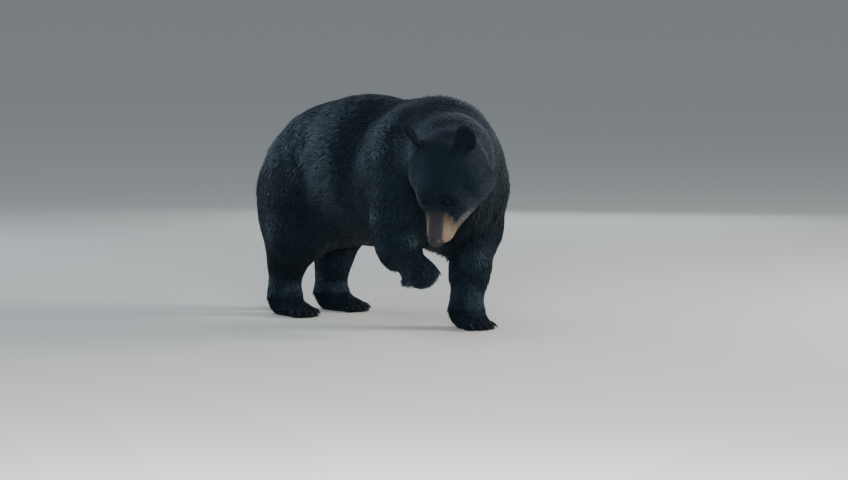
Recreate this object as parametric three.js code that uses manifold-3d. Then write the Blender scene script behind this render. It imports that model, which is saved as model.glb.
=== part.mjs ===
// American black bear, adult, life size. It stands on three legs with the right forepaw
// lifted in mid step, and the head is lowered and turned to the bear's right.
// Units are millimetres: +X is the way the body faces, +Y is its left side, +Z is up.
// Every surface is the outside of the coat, so a skin lies inside it by the depth of the fur.
//
// The flesh is one smooth field of blended balls and limbs. A surface net turns the field into
// a mesh, coarse on the trunk and fine on the head, and planes then part it into named pieces.

import * as THREE from "three";
import { mergeVertices } from "three/addons/utils/BufferGeometryUtils.js";
import Module from "manifold-3d";

const wasm = await Module();
wasm.setup();

// ---------------------------------------------------------------- driving dimensions

const GAP = 0.4; // clearance between two neighbouring pieces
const HIP_X = -335; // middle of the pelvis, behind the origin
const SHOULDER_X = 240; // middle of the shoulder blades
const TRUNK_Z = 494; // height of the middle of the trunk
const TRUNK_RADIUS = 250; // half the depth of the barrel
const HIP_SPREAD = 132; // sideways distance of a haunch from the middle
const SHOULDER_SPREAD = 150; // sideways distance of a shoulder blade from the middle

const HEAD_AT = [561, -231, 541]; // middle of the braincase
const HEAD_YAW = -68; // degrees about +Z: the face looks to the bear's right
const HEAD_PITCH = -64; // degrees: the nose points down

// Under each standing limb: x and y of the wrist or the heel above the sole.
const FORE_LEFT = [300, 68];
const HIND_RIGHT = [-418, -122];
const HIND_LEFT = [-450, 106];
const LIFTED_WRIST = [396, -206, 207];

const EYE_RADIUS = 11;
const EYE_AT = [116, 43]; // ahead of the middle of the braincase and to its side
const EYE_SINK = 9.5; // depth of the eyeball's centre under the coat
const NOSE_AT = [228, 0, -21]; // middle of the nose pad, ahead of the braincase
const NOSE_PAD = [20, 26, 17]; // half its depth, width and height
const CLAW = { sides: 4, rings: 2, radius: 6 };

// Cell of the surface net of each kind of piece.
const CELL = { trunk: 58, neck: 40, head: 20.8, leg: 41, paw: 21.5, tail: 30 };

// ---------------------------------------------------------------- field of the flesh

const rad = THREE.MathUtils.degToRad;

// A frame at a point, turned by yaw, pitch (nose up is positive) and roll, in degrees. Its own
// x, y and z axes point forward, left and up.
function frame([x, y, z], yaw = 0, pitch = 0, roll = 0) {
  const turn = new THREE.Euler(rad(roll), rad(-pitch), rad(yaw), "ZYX");
  return new THREE.Matrix4().makeRotationFromEuler(turn).setPosition(x, y, z);
}

// The same form, moved and turned with a frame.
function placed(matrix, form) {
  const e = matrix.clone().invert().elements;
  return (x, y, z) =>
    form(
      e[0] * x + e[4] * y + e[8] * z + e[12],
      e[1] * x + e[5] * y + e[9] * z + e[13],
      e[2] * x + e[6] * y + e[10] * z + e[14],
    );
}

// Distance to an ellipsoid, near enough for blending, with its half sizes along its own axes.
function ball(at, [rx, ry, rz], yaw = 0, pitch = 0, roll = 0) {
  return placed(frame(at, yaw, pitch, roll), (x, y, z) => {
    const k0 = Math.hypot(x / rx, y / ry, z / rz);
    const k1 = Math.hypot(x / (rx * rx), y / (ry * ry), z / (rz * rz));
    return k1 < 1e-9 ? -Math.min(rx, ry, rz) : (k0 * (k0 - 1)) / k1;
  });
}

// Distance to a limb: a round bar from a to b whose radius runs from ra to rb.
function limb(a, ra, b, rb) {
  const [dx, dy, dz] = [b[0] - a[0], b[1] - a[1], b[2] - a[2]];
  const squared = dx * dx + dy * dy + dz * dz;
  return (x, y, z) => {
    const [px, py, pz] = [x - a[0], y - a[1], z - a[2]];
    const along = (px * dx + py * dy + pz * dz) / squared;
    const t = Math.min(1, Math.max(0, along));
    return Math.hypot(px - t * dx, py - t * dy, pz - t * dz) - (ra + (rb - ra) * t);
  };
}

// A chain of limbs through the points, each given as [x, y, z, radius].
function chain(width, ...joints) {
  const bones = joints.slice(1).map((b, i) => {
    const a = joints[i];
    return limb(a.slice(0, 3), a[3], b.slice(0, 3), b[3]);
  });
  return blend(width, ...bones);
}

// The forms joined with a soft hollow about as wide as width where they meet.
function blend(width, ...forms) {
  return (x, y, z) => {
    let d = forms[0](x, y, z);
    for (let i = 1; i < forms.length; i += 1) {
      const other = forms[i](x, y, z);
      const overlap = Math.max(width - Math.abs(d - other), 0) / width;
      d = Math.min(d, other) - (overlap * overlap * width) / 4;
    }
    return d;
  };
}

// Both the left and the right of a form that is given for the left side.
const pair = (width, make) => blend(width, make(1), make(-1));

const torso = blend(
  90,
  ball([-85, 0, TRUNK_Z + 8], [370, 236, TRUNK_RADIUS + 9]),
  ball([HIP_X + 8, 0, TRUNK_Z - 32], [204, 200, 239], 0, 8),
  ball([SHOULDER_X - 10, 0, TRUNK_Z + 6], [225, 204, 242]),
  ball([SHOULDER_X - 20, 0, 644], [165, 105, 94], 0, -2),
  pair(60, (s) => ball([SHOULDER_X - 5, s * SHOULDER_SPREAD, 500], [125, 80, 190], 0, 12)),
  ball([HIP_X - 32, -HIP_SPREAD, 372], [158, 88, 198], 0, -4),
  ball([HIP_X - 42, HIP_SPREAD, 408], [150, 88, 172], 0, -4),
);

const neck = chain(
  60,
  [SHOULDER_X + 55, -25, 578, 160],
  [SHOULDER_X + 190, -112, 574, 130],
  [HEAD_AT[0] - 35, HEAD_AT[1] + 40, HEAD_AT[2] + 30, 106],
);

// The head in its own frame: x towards the nose, y to its left, z towards the crown.
const headFrame = frame(HEAD_AT, HEAD_YAW, HEAD_PITCH);
const headFormAlone = blend(
  46,
  ball([-6, 0, -4], [114, 106, 90]),
  pair(40, (s) => ball([0, s * 78, -33], [76, 70, 76])),
  pair(30, (s) => ball([76, s * 46, -28], [58, 38, 46])),
  ball([54, 0, 17], [66, 60, 47]),
  pair(20, (s) => limb([92, s * 27, -28], 36, [192, s * 16, -34], 22)),
  limb([92, 0, -2], 38, [NOSE_AT[0] - 14, 0, -18], 20),
  pair(20, (s) => limb([56, s * 50, -60], 38, [168, s * 10, -58], 19)),
  pair(20, (s) => ball([84, s * 38, 31], [30, 20, 15], s * 16)),
);
const headForm = placed(headFrame, headFormAlone);

// Standing legs, each a chain of [x, y, z, radius].
const forelegLeft = chain(
  50,
  [SHOULDER_X + 5, 152, 430, 96],
  [SHOULDER_X - 2, 155, 325, 91],
  [FORE_LEFT[0] - 22, FORE_LEFT[1] + 34, 195, 64],
  [FORE_LEFT[0] - 4, FORE_LEFT[1] + 6, 95, 48],
  [FORE_LEFT[0] + 4, FORE_LEFT[1], 55, 42],
);
const forelegRight = chain(
  50,
  [SHOULDER_X + 5, -160, 440, 92],
  [SHOULDER_X - 2, -180, 345, 77],
  [SHOULDER_X + 16, -190, 276, 60],
  [...LIFTED_WRIST, 53],
);
const hindLeg = (side, [x, y], thighX, kneeX, kneeZ) =>
  chain(
    50,
    [thighX, side * 126, 400, 110],
    [kneeX, side * (Math.abs(y) + 24), kneeZ, 82],
    [x + 12, y, 182, 62],
    [x - 6, y, 100, 47],
    [x - 4, y, 50, 44],
  );
const hindLegRight = hindLeg(-1, HIND_RIGHT, -330, -335, 270);
const hindLegLeft = hindLeg(1, HIND_LEFT, -385, -432, 285);

// A paw in its own frame: the origin is on the sole under the wrist or the heel, x points to
// the toes. Toes stand side by side on an arc, and each ends in a curved claw.
const FOREPAW = { palm: [44, 0, 27], spread: [54, 48, 30], toeX: 92, toeGap: 20.5, claw: 34 };
const HINDPAW = { palm: [66, 0, 25], spread: [76, 45, 29], toeX: 128, toeGap: 19, claw: 24 };
const TOE = [25, 13, 17];
const toesOf = (size) =>
  [-2, -1, 0, 1, 2].map((n) => [size.toeX - 4.2 * n * n, n * size.toeGap, 17]);
const pawForm = (at, size) =>
  placed(
    at,
    blend(
      14,
      blend(24, ball(size.palm, size.spread), limb([-2, 0, 48], 42, [size.palm[0], 0, 22], 30)),
      ...toesOf(size).map((toe) => ball(toe, TOE)),
    ),
  );
const pawFrames = {
  forepawLeft: frame([...FORE_LEFT, 0], -8),
  hindPawRight: frame([...HIND_RIGHT, 0], -4),
  hindPawLeft: frame([...HIND_LEFT, 0], 6),
  // Folded back at the wrist: the sole faces up and back, and the toes point under the chest.
  forepawRight: frame(LIFTED_WRIST, 144, -32, 153).multiply(frame([-4, 0, -44])),
};
const pawSizes = {
  forepawLeft: FOREPAW,
  forepawRight: FOREPAW,
  hindPawLeft: HINDPAW,
  hindPawRight: HINDPAW,
};

const tailForm = limb([-500, 0, 590], 42, [-556, 0, 492], 26);

const trunkAndNeck = blend(70, torso, neck);
const fleshOfHead = blend(46, trunkAndNeck, headForm);
const pawAt = (name) => pawForm(pawFrames[name], pawSizes[name]);
const standingPaws = ["forepawLeft", "hindPawLeft", "hindPawRight"].map(pawAt);
const flesh = blend(
  50,
  trunkAndNeck,
  forelegLeft,
  blend(20, forelegRight, pawAt("forepawRight")),
  hindLegLeft,
  hindLegRight,
  blend(20, tailForm, ...standingPaws),
);

// ---------------------------------------------------------------- from a field to a mesh

// The surface where the field is zero, as a closed mesh: one vertex in each grid cell that the
// surface crosses, and one quad across each grid edge that it cuts. The grid's rim counts as
// outside, so what runs out of the box is closed there.
function surfaceNet(field, [low, high], cell) {
  const counts = low.map((v, i) => Math.ceil((high[i] - v) / cell) + 1);
  const [nx, ny, nz] = counts;
  const value = new Float64Array(nx * ny * nz);
  const slot = (i, j, k) => (i * ny + j) * nz + k;
  for (let i = 0; i < nx; i += 1)
    for (let j = 0; j < ny; j += 1)
      for (let k = 0; k < nz; k += 1) {
        const rim = !i || !j || !k || i === nx - 1 || j === ny - 1 || k === nz - 1;
        const d = field(low[0] + i * cell, low[1] + j * cell, low[2] + k * cell);
        value[slot(i, j, k)] = rim ? Math.max(d, cell / 4) : d;
      }
  const steps = [slot(1, 0, 0), slot(0, 1, 0), slot(0, 0, 1)];
  const corners = [0, 1, 2, 3, 4, 5, 6, 7].map((c) => [c & 1, (c >> 1) & 1, (c >> 2) & 1]);
  const edges = corners.flatMap((c, a) => [0, 1, 2].filter((d) => !c[d]).map((d) => [a, a | (1 << d)]));
  const positions = [];
  const vertexOf = new Map();
  for (let i = 0; i < nx - 1; i += 1)
    for (let j = 0; j < ny - 1; j += 1)
      for (let k = 0; k < nz - 1; k += 1) {
        const at = corners.map((c) => value[slot(i + c[0], j + c[1], k + c[2])]);
        const sum = [0, 0, 0];
        let crossings = 0;
        for (const [a, b] of edges) {
          if (at[a] < 0 === at[b] < 0) continue;
          const t = at[a] / (at[a] - at[b]);
          for (let d = 0; d < 3; d += 1)
            sum[d] += corners[a][d] + (corners[b][d] - corners[a][d]) * t;
          crossings += 1;
        }
        if (!crossings) continue;
        vertexOf.set(slot(i, j, k), positions.length / 3);
        [i, j, k].forEach((n, d) => positions.push(low[d] + (n + sum[d] / crossings) * cell));
      }
  const index = [];
  for (let i = 0; i < nx - 1; i += 1)
    for (let j = 0; j < ny - 1; j += 1)
      for (let k = 0; k < nz - 1; k += 1)
        for (let d = 0; d < 3; d += 1) {
          const here = slot(i, j, k);
          if (![i, j, k][(d + 1) % 3] || ![i, j, k][(d + 2) % 3]) continue;
          const inside = value[here] < 0;
          if (inside === value[here + steps[d]] < 0) continue;
          const [u, v] = [steps[(d + 1) % 3], steps[(d + 2) % 3]];
          const around = [here - u - v, here - v, here, here - u].map((s) => vertexOf.get(s));
          addQuad(index, positions, inside ? around : around.reverse());
        }
  settle(positions, field, cell);
  return new THREE.BufferGeometry()
    .setAttribute("position", new THREE.Float32BufferAttribute(positions, 3))
    .setIndex(index);
}

// Two triangles for a quad, split along its shorter diagonal.
function addQuad(index, positions, [a, b, c, d]) {
  const apart = (p, q) =>
    Math.hypot(...[0, 1, 2].map((n) => positions[3 * p + n] - positions[3 * q + n]));
  if (apart(a, c) <= apart(b, d)) index.push(a, b, c, a, c, d);
  else index.push(a, b, d, b, c, d);
}

// Moves each vertex onto the field's zero surface, along the field's slope.
function settle(positions, field, cell) {
  const h = 1;
  for (let n = 0; n < positions.length; n += 3) {
    let [x, y, z] = positions.slice(n, n + 3);
    for (let turn = 0; turn < 4; turn += 1) {
      const d = field(x, y, z);
      const gx = field(x + h, y, z) - field(x - h, y, z);
      const gy = field(x, y + h, z) - field(x, y - h, z);
      const gz = field(x, y, z + h) - field(x, y, z - h);
      const size = Math.max((gx * gx + gy * gy + gz * gz) / (2 * h), 0.05);
      const step = THREE.MathUtils.clamp(d / size, -cell / 3, cell / 3);
      x -= gx * step;
      y -= gy * step;
      z -= gz * step;
    }
    [positions[n], positions[n + 1], positions[n + 2]] = [x, y, z];
  }
}

// ---------------------------------------------------------------- joining and cutting

function solidOf(geometry) {
  const bare = geometry.clone();
  bare.deleteAttribute("normal");
  bare.deleteAttribute("uv");
  const merged = mergeVertices(bare, 1e-3);
  return new wasm.Manifold(
    new wasm.Mesh({
      numProp: 3,
      vertProperties: merged.attributes.position.array,
      triVerts: new Uint32Array(merged.index.array),
    }),
  );
}

function geometryOf(solid) {
  const { vertProperties, triVerts } = solid.getMesh();
  return new THREE.BufferGeometry()
    .setAttribute("position", new THREE.Float32BufferAttribute(vertProperties, 3))
    .setIndex(new THREE.Uint32BufferAttribute(triVerts, 1))
    .toNonIndexed();
}

// A box in a frame, from its low to its high corner, grown by a margin on every side.
function block(at, low, high, margin = 0) {
  const size = low.map((v, i) => high[i] - v + 2 * margin);
  const middle = low.map((v, i) => (high[i] + v) / 2);
  const box = new THREE.BoxGeometry(...size).translate(...middle);
  return solidOf(box.applyMatrix4(at));
}

const netOf = (field, low, high, cell) => solidOf(surfaceNet(field, [low, high], cell));
const largest = (solid) =>
  solid.decompose().reduce((a, b) => (a.volume() > b.volume() ? a : b));

// A curved tapering claw in a frame: it starts along x and bends down, and ends in a point.
function clawAt(at, length) {
  const { sides, rings, radius } = CLAW;
  const points = [];
  for (let ring = 0; ring < rings; ring += 1) {
    const t = ring / rings;
    const bend = t * 1.1;
    const [x, z] = [length * (t - 0.12 * t * t), -length * 0.42 * t * t];
    const r = radius * (1 - 0.55 * t);
    for (let n = 0; n < sides; n += 1) {
      const [c, q] = [Math.cos((2 * Math.PI * n) / sides), Math.sin((2 * Math.PI * n) / sides)];
      points.push([x + r * q * 1.35 * Math.sin(bend), r * c * 0.8, z + r * q * 1.35 * Math.cos(bend)]);
    }
  }
  points.push([length * 0.88, 0, -length * 0.42]);
  points.push([0, 0, 0]);
  const tip = rings * sides;
  const index = [];
  for (let n = 0; n < sides; n += 1) {
    const next = (n + 1) % sides;
    for (let ring = 0; ring < rings - 1; ring += 1) {
      const [a, b] = [ring * sides + n, ring * sides + next];
      index.push(a, a + sides, b, b, a + sides, b + sides);
    }
    index.push(tip - sides + n, tip, tip - sides + next);
    index.push(tip + 1, n, next);
  }
  const geometry = new THREE.BufferGeometry()
    .setAttribute("position", new THREE.Float32BufferAttribute(points.flat(), 3))
    .setIndex(index)
    .applyMatrix4(at);
  const solid = solidOf(geometry);
  return solid.volume() > 0 ? solid : solidOf(flipped(geometry));
}

function flipped(geometry) {
  const index = Array.from(geometry.index.array);
  for (let n = 0; n < index.length; n += 3)
    [index[n], index[n + 1]] = [index[n + 1], index[n]];
  return geometry.clone().setIndex(index);
}

// ---------------------------------------------------------------- where the pieces part

const FAR = 1500;
const FLOOR = block(frame([0, 0, 0]), [-FAR, -FAR, 0], [FAR, FAR, FAR]);

// Each region is a box in a frame, as [frame, low, high].
const legRegion = (side, x, back, front) => [
  frame([x, side * 62, 305], 0, 0, side * -34),
  [-back, side > 0 ? 0 : -FAR, -FAR],
  [front, side > 0 ? FAR : 0, FAR],
];
const footRegion = (name, height) => [
  pawFrames[name].clone().multiply(frame([0, 0, height])),
  [-130, -110, -FAR],
  [240, 110, 0],
];
const regions = {
  neck: [frame([SHOULDER_X + 118, -20, 590], -34, 22), [0, -FAR, -330], [FAR, FAR, FAR]],
  head: [headFrame.clone().multiply(frame([-56, 0, 0], 0, 24)), [0, -170, -190], [360, 170, 190]],
  lowerJaw: [headFrame.clone().multiply(frame([92, 0, -60], 0, 5)), [0, -90, -80], [150, 90, 0]],
  foreleg_left: legRegion(1, SHOULDER_X, 125, 230),
  foreleg_right: legRegion(-1, SHOULDER_X, 115, 330),
  hind_leg_left: legRegion(1, HIP_X, 400, 150),
  hind_leg_right: legRegion(-1, HIP_X, 400, 150),
  forepaw_left: footRegion("forepawLeft", 84),
  hind_paw_left: footRegion("hindPawLeft", 84),
  hind_paw_right: footRegion("hindPawRight", 84),
  forepaw_right: [frame(LIFTED_WRIST, 70, -66), [2, -110, -84], [220, 230, 88]],
  tail: [frame([-524, 0, 548], 0, -60), [-62, -44, -180], [72, 44, 0]],
};
const region = (name, margin = 0) => block(...regions[name], margin);
const LEGS = ["foreleg_left", "foreleg_right", "hind_leg_left", "hind_leg_right"];
const without = (solid, ...names) =>
  names.reduce((left, name) => left.subtract(region(name, GAP)), solid);

const pieces = new Map();

const trunkNet = netOf(flesh, [-680, -340, 150], [620, 340, 850], CELL.trunk);
pieces.set("trunk", without(trunkNet, "neck", "head", "tail", ...LEGS));

const neckNet = netOf(fleshOfHead, [150, -420, 200], [760, 330, 860], CELL.neck);
pieces.set("neck", without(neckNet.intersect(region("neck")), "head", ...LEGS));

// The eyes, the nose pad and the ears are placed in the head's frame.
const onHead = (...args) => headFrame.clone().multiply(frame(...args));
function sunk(x, y, depth) {
  let [inside, outside] = [-20, 90];
  for (let turn = 0; turn < 30; turn += 1) {
    const z = (inside + outside) / 2;
    if (headFormAlone(x, y, z) < -depth) inside = z;
    else outside = z;
  }
  return onHead([x, y, inside]);
}
const eyeFrames = { left: sunk(...EYE_AT, EYE_SINK), right: sunk(EYE_AT[0], -EYE_AT[1], EYE_SINK) };
const noseFrame = onHead(NOSE_AT, 0, -12);
const eyeOf = (side, margin = 0) =>
  solidOf(new THREE.SphereGeometry(EYE_RADIUS + margin, 10, 7).applyMatrix4(eyeFrames[side]));
const noseOf = (margin = 0) => {
  const [a, b, c] = NOSE_PAD.map((v) => v + margin);
  return solidOf(new THREE.SphereGeometry(1, 12, 8).scale(a, b, c).applyMatrix4(noseFrame));
};

const headLow = HEAD_AT.map((v, i) => v - [260, 300, 330][i]);
const headHigh = HEAD_AT.map((v) => v + 260);
const headNet = netOf(fleshOfHead, headLow, headHigh, CELL.head).intersect(region("head"));
const details = [eyeOf("left", GAP), eyeOf("right", GAP), noseOf(GAP)];
const drilled = (solid) => details.reduce((left, detail) => left.subtract(detail), solid);
pieces.set("head", drilled(without(headNet, "lowerJaw")));
pieces.set("lower_jaw", drilled(headNet.intersect(region("lowerJaw"))));
pieces.set("nose", noseOf());
pieces.set("eye_left", eyeOf("left"));
pieces.set("eye_right", eyeOf("right"));

// An ear is a rounded cup: a ball whose front half is pushed in behind a rounded rim.
const EAR = { width: 37, height: 55, back: 26, hollow: 15, rim: 7 };
function earAt(at) {
  const ball = new THREE.SphereGeometry(1, 12, 9).rotateZ(-Math.PI / 2);
  const position = ball.attributes.position;
  for (let n = 0; n < position.count; n += 1) {
    const [x, y, z] = [position.getX(n), position.getY(n), position.getZ(n)];
    const inwards = THREE.MathUtils.smoothstep(x, 0.2, 0.85);
    const front = EAR.rim * Math.sin(Math.min(x / 0.35, 1) * (Math.PI / 2)) - EAR.hollow * inwards;
    const lean = -9 * z * z;
    position.setXYZ(n, (x > 0 ? front : EAR.back * x) + lean, EAR.width * y, EAR.height * (z + 0.8));
  }
  return solidOf(ball.applyMatrix4(at));
}
const headGrown = netOf((x, y, z) => fleshOfHead(x, y, z) - 2 * GAP, headLow, headHigh, CELL.head);
const earFrames = {
  ear_left: onHead([-46, 84, 58], 30, 26, -22),
  ear_right: onHead([-46, -92, 52], -42, 14, 44), // laid out sideways, its edge to the front
};
for (const [name, at] of Object.entries(earFrames))
  pieces.set(name, earAt(at).subtract(headGrown));

const legBoxes = {
  foreleg_left: [[SHOULDER_X - 200, -30, -40], [SHOULDER_X + 260, 330, 640]],
  foreleg_right: [[SHOULDER_X - 200, -340, 30], [SHOULDER_X + 330, 30, 640]],
  hind_leg_left: [[-680, -30, -40], [-120, 330, 640]],
  hind_leg_right: [[-680, -340, -40], [-120, 30, 640]],
};
const pawOf = {
  foreleg_left: ["forepaw_left", "forepawLeft"],
  foreleg_right: ["forepaw_right", "forepawRight"],
  hind_leg_left: ["hind_paw_left", "hindPawLeft"],
  hind_leg_right: ["hind_paw_right", "hindPawRight"],
};
for (const name of LEGS) {
  const [low, high] = legBoxes[name];
  const [pawName, key] = pawOf[name];
  const net = netOf(flesh, low, high, CELL.leg).intersect(region(name)).intersect(FLOOR);
  pieces.set(name, without(net, "head", pawName));

  const centre = new THREE.Vector3(50, 0, 20).applyMatrix4(pawFrames[key]).toArray();
  const pawNet = netOf(
    flesh,
    centre.map((v) => v - 175),
    centre.map((v) => v + 175),
    CELL.paw,
  );
  let paw = largest(pawNet.intersect(region(pawName)).intersect(FLOOR));
  const size = pawSizes[key];
  for (const [x, y, z] of toesOf(size)) {
    const root = pawFrames[key].clone().multiply(frame([x + TOE[0] - 9, y, z + 1], y * 0.25, 12));
    paw = paw.add(clawAt(root, size.claw));
  }
  pieces.set(pawName, paw.intersect(FLOOR));
}

const tailNet = netOf(flesh, [-640, -100, 400], [-440, 100, 700], CELL.tail);
pieces.set("tail", tailNet.intersect(region("tail")));

// ---------------------------------------------------------------- the model

const MATERIALS = {
  coat: { color: 0x0b0d12, roughness: 0.6 },
  nose_pad: { color: 0x050506, roughness: 0.4 },
  eye: { color: 0x140a05, roughness: 0.05 },
};
const slotOf = (name) => (name === "nose" ? "nose_pad" : name.startsWith("eye") ? "eye" : "coat");

const bear = new THREE.Group();
for (const [name, solid] of pieces) {
  const slot = slotOf(name);
  const material = new THREE.MeshStandardMaterial({ ...MATERIALS[slot], metalness: 0 });
  material.name = slot;
  const mesh = new THREE.Mesh(geometryOf(largest(solid)), material);
  mesh.name = name;
  bear.add(mesh);
}
// The origin is on the floor, under the middle of the whole model.
const bounds = new THREE.Box3().setFromObject(bear);
const middle = bounds.getCenter(new THREE.Vector3());
bear.position.set(-middle.x, -middle.y, -bounds.min.z);

export default bear;
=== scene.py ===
# %% [markdown]
# # An American black bear, life size
# The solids of the model give the bear's true outline, out to the tips of its coat. This lesson
# dresses them: one skin under the whole coat, the coat itself as many thin locks of hair, and
# the bare pieces, which are the nose, the eyes with their lids, and the claws.

# %% Load the solids
import math
import bmesh
import bpy
import numpy as np
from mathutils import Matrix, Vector
from mathutils.bvhtree import BVHTree


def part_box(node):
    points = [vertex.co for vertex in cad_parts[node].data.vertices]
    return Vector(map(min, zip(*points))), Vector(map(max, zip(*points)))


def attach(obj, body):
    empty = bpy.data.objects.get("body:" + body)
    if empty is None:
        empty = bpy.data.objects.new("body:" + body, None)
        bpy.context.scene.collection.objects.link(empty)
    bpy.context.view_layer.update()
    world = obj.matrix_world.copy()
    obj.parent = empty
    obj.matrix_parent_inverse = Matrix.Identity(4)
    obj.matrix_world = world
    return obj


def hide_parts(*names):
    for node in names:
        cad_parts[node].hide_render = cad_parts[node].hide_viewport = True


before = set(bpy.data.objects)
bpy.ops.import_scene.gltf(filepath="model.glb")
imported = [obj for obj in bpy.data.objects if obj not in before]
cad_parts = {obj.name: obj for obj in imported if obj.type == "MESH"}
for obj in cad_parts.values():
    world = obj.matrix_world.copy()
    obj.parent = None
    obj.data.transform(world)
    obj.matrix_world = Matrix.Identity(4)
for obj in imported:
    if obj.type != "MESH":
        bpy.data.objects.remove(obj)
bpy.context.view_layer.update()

# %% [markdown]
# ## Camera
# A long lens far away keeps the bear's proportions true. The camera stands ahead of the bear
# and to its right, a little above it, and looks down by five degrees.

# %% Camera
CAMERA_AZIMUTH = math.radians(50)
CAMERA_ELEVATION = math.radians(5)
CAMERA_DISTANCE = 15.0
LOOK_AT = np.array([-0.007, 0.137, 0.272])


def towards(azimuth, elevation):
    """Unit vector away from the bear: the cosine and sine of a turn from -Y and of a height."""
    flat = math.cos(elevation)
    return np.array([math.sin(azimuth) * flat, -math.cos(azimuth) * flat, math.sin(elevation)])


def put_facing(thing, place, target):
    """Puts a camera or lamp at place, with its -Z axis at target and its Y axis up."""
    thing.location = place
    aim = Vector(target) - Vector(place)
    thing.rotation_euler = aim.to_track_quat("-Z", "Y").to_euler()


camera = bpy.data.objects.new("camera", bpy.data.cameras.new("camera"))
bpy.context.scene.collection.objects.link(camera)
camera.data.lens = 191.0
camera.data.clip_end = 400
put_facing(camera, LOOK_AT + CAMERA_DISTANCE * towards(CAMERA_AZIMUTH, CAMERA_ELEVATION), LOOK_AT)
bpy.context.scene.camera = camera
print("camera at", [round(v, 2) for v in camera.location])

# %% [markdown]
# ## Materials from nodes
# Every finish is one Principled shader with a few texture nodes. A number that is the same all
# over is set on the shader's own socket; only colour and bump come from textures.


# %% A helper for materials
def finish(name, colour, roughness, **sockets):
    """A material with one Principled shader; returns it with its node tree and its shader."""
    material = bpy.data.materials.new(name)
    material.use_nodes = True
    tree = material.node_tree
    shader = tree.nodes["Principled BSDF"]
    shader.inputs["Base Color"].default_value = (*colour, 1)
    shader.inputs["Roughness"].default_value = roughness
    for socket, value in sockets.items():
        shader.inputs[socket.replace("_", " ")].default_value = value
    return material, tree, shader


def node(tree, kind, **values):
    """A new node with its sockets set by name; underscores stand for spaces."""
    made = tree.nodes.new(kind)
    for socket, value in values.items():
        made.inputs[socket.replace("_", " ")].default_value = value
    return made


def grain(tree, shader, scale, strength, distance):
    """Bump from a noise texture on Object coordinates, as fine relief of the surface."""
    place = tree.nodes.new("ShaderNodeTexCoord")
    noise = node(tree, "ShaderNodeTexNoise", Scale=scale, Detail=4.0)
    bump = node(tree, "ShaderNodeBump", Strength=strength, Distance=distance)
    tree.links.new(place.outputs["Object"], noise.inputs["Vector"])
    tree.links.new(noise.outputs["Fac"], bump.inputs["Height"])
    tree.links.new(bump.outputs["Normal"], shader.inputs["Normal"])
    return noise


# %% [markdown]
# ## Floor and light
# The floor is a wide pale plane. Black fur shows its form only by its sheen, so the light comes
# from large soft lamps: a pale sky, a broad main lamp in front, a warm one behind on the right,
# which draws the edge of the neck, a weak bluish one for the other edge, one overhead, and a
# faint one for the far side.

# %% Floor
floor_mesh = bpy.data.meshes.new("floor")
FLOOR_HALF = 120.0
corners = [(-FLOOR_HALF, -FLOOR_HALF, 0), (FLOOR_HALF, -FLOOR_HALF, 0)]
corners += [(FLOOR_HALF, FLOOR_HALF, 0), (-FLOOR_HALF, FLOOR_HALF, 0)]
floor_mesh.from_pydata(corners, [], [(0, 1, 2, 3)])
floor = bpy.data.objects.new("floor", floor_mesh)
bpy.context.scene.collection.objects.link(floor)
floor_paint, floor_tree, floor_shader = finish("pale_floor", (0.62, 0.62, 0.57), 0.9)
floor_mesh.materials.append(floor_paint)
print("floor is", 2 * FLOOR_HALF, "m wide")


# %% Lamps and sky
LAMPS_AIM_AT = np.array([0.0, 0.0, 0.4])


def lamp(name, azimuth, elevation, distance, size, power, colour):
    """A square area lamp aimed at the middle of the bear: angles in degrees, metres and watts."""
    light = bpy.data.lights.new(name, "AREA")
    light.size = size
    light.energy = power
    light.color = colour
    made = bpy.data.objects.new(name, light)
    bpy.context.scene.collection.objects.link(made)
    away = towards(math.radians(azimuth), math.radians(elevation))
    put_facing(made, LAMPS_AIM_AT + distance * away, LAMPS_AIM_AT)


lamp("front_lamp", 52, 11, 6.0, 2.0, 390, (0.97, 0.98, 1.0))
lamp("edge_lamp", 143, 19, 4.5, 1.6, 210, (1.0, 0.96, 0.9))
lamp("far_edge_lamp", -78, 4, 4.5, 1.6, 64, (0.62, 0.80, 1.0))
lamp("rear_lamp", 222, 14, 4.5, 2.4, 26, (0.85, 0.92, 1.0))
lamp("sky_lamp", 20, 75, 5.0, 4.0, 60, (0.78, 0.88, 1.0))
world = bpy.data.worlds.new("sky")
bpy.context.scene.world = world
world.use_nodes = True
world.node_tree.nodes["Background"].inputs["Color"].default_value = (0.75, 0.83, 0.95, 1)
world.node_tree.nodes["Background"].inputs["Strength"].default_value = 0.38

# %% [markdown]
# ## The head's own frame
# The face is easiest to shape in a frame that turns with the head: x towards the nose, y to the
# bear's left, z towards the crown, in millimetres from the middle of the braincase. The boxes of
# the eye and nose solids fix it: the line through the eyes is y, and the line from between the
# eyes to the nose falls below x by the angle that their places in the head give.


# %% Head frame
def middle_of(name):
    """Middle of a solid's box, in metres."""
    low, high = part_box(name)
    return np.array((low + high) / 2)


def unit(v):
    """The vectors along the last axis, scaled to length one."""
    return v / np.maximum(np.linalg.norm(v, axis=-1, keepdims=True), 1e-12)


SIDES = (1, -1)
EYES_AHEAD, EYES_UP = 116.0, 37.7
NOSE_IN_HEAD = np.array([228.0, 0.0, -21.0])
NOSE_HALF = np.array([20.5, 26.5, 17.5])
eye_to_nose_fall = math.atan2(EYES_UP - NOSE_IN_HEAD[2], NOSE_IN_HEAD[0] - EYES_AHEAD)
eye_left_at, eye_right_at, nose_at = (middle_of(n) for n in ("eye_left", "eye_right", "nose"))
head_left = unit(eye_left_at - eye_right_at)
to_nose = unit(nose_at - (eye_left_at + eye_right_at) / 2)
above = unit(np.cross(to_nose, head_left))
head_forward = to_nose * math.cos(eye_to_nose_fall) + above * math.sin(eye_to_nose_fall)
head_up = np.cross(head_forward, head_left)
HEAD_AXES = np.array([head_forward, head_left, head_up])
head_at = nose_at - (NOSE_IN_HEAD / 1000) @ HEAD_AXES


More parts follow.
